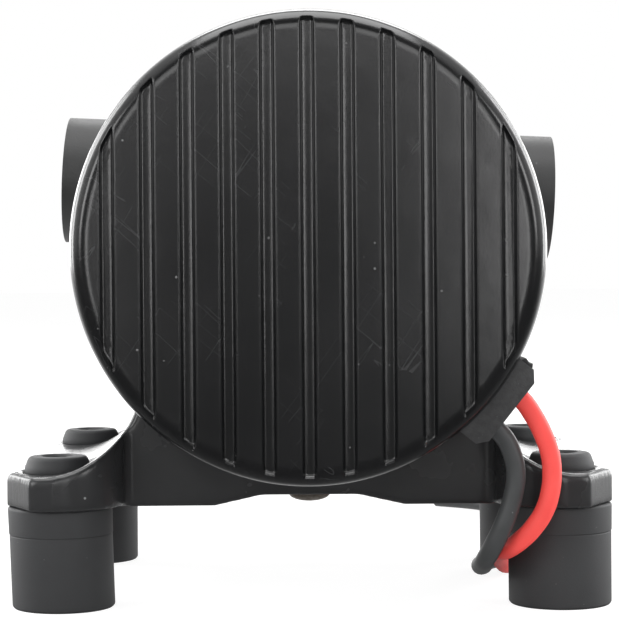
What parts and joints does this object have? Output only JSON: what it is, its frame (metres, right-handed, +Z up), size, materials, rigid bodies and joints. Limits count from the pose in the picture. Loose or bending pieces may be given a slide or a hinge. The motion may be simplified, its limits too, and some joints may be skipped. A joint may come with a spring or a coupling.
{
  "type": "diaphragm water pump",
  "caption": "Small 12 volt diaphragm water pump: round ribbed motor cover, drive housing and ported pump head in line, on a saddle bracket with rubber feet and two leads.",
  "frame": {"origin": "on the floor, at the centre of the four mounting holes", "axes": "+Z up; +Y along the motor's axis from its closed end to the pump head; +X across the feet"},
  "size_m": [0.128, 0.2058, 0.1119],
  "materials": {
    "cover_plastic": "satin moulded, ribbed end",
    "housing_plastic": "fine moulded grain",
    "bracket_plastic": "satin moulded",
    "foot_rubber": "matt rubber",
    "black_rubber": "matt rubber",
    "steel": "ground",
    "plated_steel": "bright zinc plated",
    "screw_steel": "dull zinc plated",
    "end_plate_metal": "die cast",
    "lamination_steel": "varnished stack",
    "ferrite": "sintered",
    "copper": "enamelled",
    "carbon": "pressed graphite",
    "inner_plastic": "moulded",
    "natural_plastic": "moulded",
    "button_plastic": "moulded",
    "brass": "drawn",
    "red_insulation": "smooth insulation",
    "black_insulation": "smooth insulation",
    "tinned_copper": "tinned strands"
  },
  "bodies": {
    "pump_body": {"motor_cover": "cover_plastic", "drive_housing": "housing_plastic", "pump_head": "housing_plastic", "switch_base": "housing_plastic", "switch_cover": "housing_plastic", "gland_body": "housing_plastic", "gland_clip": "housing_plastic", "base_bracket": "bracket_plastic", "foot_rear_left": "foot_rubber", "foot_rear_right": "foot_rubber", "foot_front_left": "foot_rubber", "foot_front_right": "foot_rubber", "diaphragm": "black_rubber", "inlet_valves": "black_rubber", "outlet_valve": "black_rubber", "valve_seal": "black_rubber", "switch_diaphragm": "black_rubber", "rear_bearing": "steel", "front_bearing": "steel", "wave_washer": "steel", "brush_springs": "steel", "switch_spring": "steel", "motor_can": "plated_steel", "through_bolts": "plated_steel", "head_screws": "plated_steel", "switch_screws": "plated_steel", "base_screws": "screw_steel", "motor_end_plate": "end_plate_metal", "magnets": "ferrite", "brushes": "carbon", "brush_holder": "inner_plastic", "micro_switch": "inner_plastic", "valve_plate": "natural_plastic", "switch_terminals": "brass", "red_lead": "red_insulation", "lead_plug": "red_insulation", "black_lead": "black_insulation", "lead_end": "tinned_copper"},
    "rotor": {"motor_shaft": "steel", "armature_core": "lamination_steel", "windings": "copper", "commutator": "copper", "cam": "steel"},
    "wobbler": {"cam_bearing": "steel", "wobble_plate": "natural_plastic", "pistons": "natural_plastic", "piston_screws": "plated_steel"},
    "plunger": {"switch_plunger": "natural_plastic", "switch_button": "button_plastic"},
    "adjuster": {"adjusting_screw": "brass"}
  },
  "joints": [
    {"name": "shaft_spin", "type": "hinge", "parent": "pump_body", "child": "rotor", "pos_m": [0, 0, 0.0684], "axis": [0, 1, 0], "continuous": true},
    {"name": "wobble_rock", "type": "hinge", "parent": "rotor", "child": "wobbler", "pos_m": [0, 0.062, 0.0684], "axis": [0, 0.9981, 0.061], "continuous": true, "deforming": ["diaphragm"]},
    {"name": "plunger_slide", "type": "slide", "parent": "pump_body", "child": "plunger", "axis": [0, 1, 0], "range_m": [0, 0.0012], "stiffness_N_per_m": 1500, "deforming": ["switch_spring"]},
    {"name": "adjuster_turn", "type": "hinge", "parent": "pump_body", "child": "adjuster", "pos_m": [0, 0.143, 0.0684], "axis": [0, 1, 0], "range_deg": [-180, 180]}
  ],
  "couplings": [
    {"joint": "wobble_rock", "follows": "shaft_spin", "ratio": -1}
  ]
}
